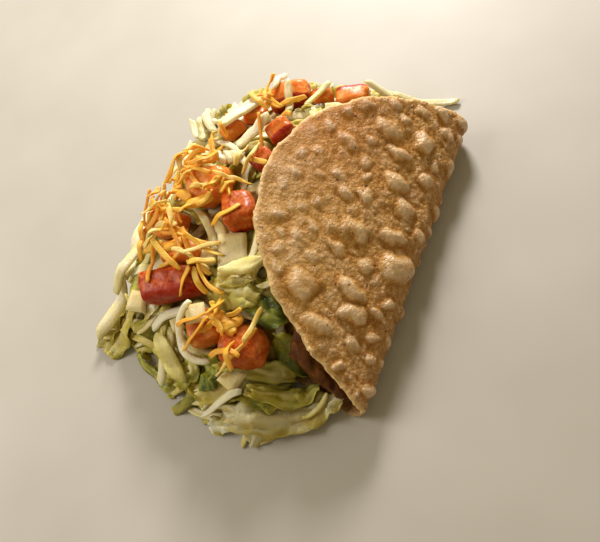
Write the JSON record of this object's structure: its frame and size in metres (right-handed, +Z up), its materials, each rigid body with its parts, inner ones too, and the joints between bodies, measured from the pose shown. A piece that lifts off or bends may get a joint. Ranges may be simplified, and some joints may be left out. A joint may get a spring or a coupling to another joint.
{
  "type": "taco",
  "caption": "Folded crisp corn taco lying on its side, its lettuce, tomato and grated cheese spilling out of the open mouth.",
  "frame": {"origin": "middle of the footprint, on the surface that the taco lies on", "axes": "+X along the fold of the shell, +Y from the fold to the open side, +Z up"},
  "size_m": [0.1957, 0.1449, 0.0588],
  "materials": {
    "corn_shell": "fried corn tortilla, golden tan with blisters",
    "bean_filling": "moist brown beans and meat",
    "lettuce": "moist shredded lettuce",
    "cheese": "grated cheese",
    "tomato": "wet diced tomato"
  },
  "bodies": {
    "root": {"shell": "corn_shell", "beans": "bean_filling", "lettuce": "lettuce", "tomato_1": "tomato", "tomato_2": "tomato", "tomato_3": "tomato", "tomato_4": "tomato", "tomato_5": "tomato", "tomato_6": "tomato", "tomato_7": "tomato", "tomato_8": "tomato", "tomato_9": "tomato", "tomato_10": "tomato", "tomato_11": "tomato", "tomato_12": "tomato", "tomato_13": "tomato", "tomato_14": "tomato"}
  },
  "joints": []
}
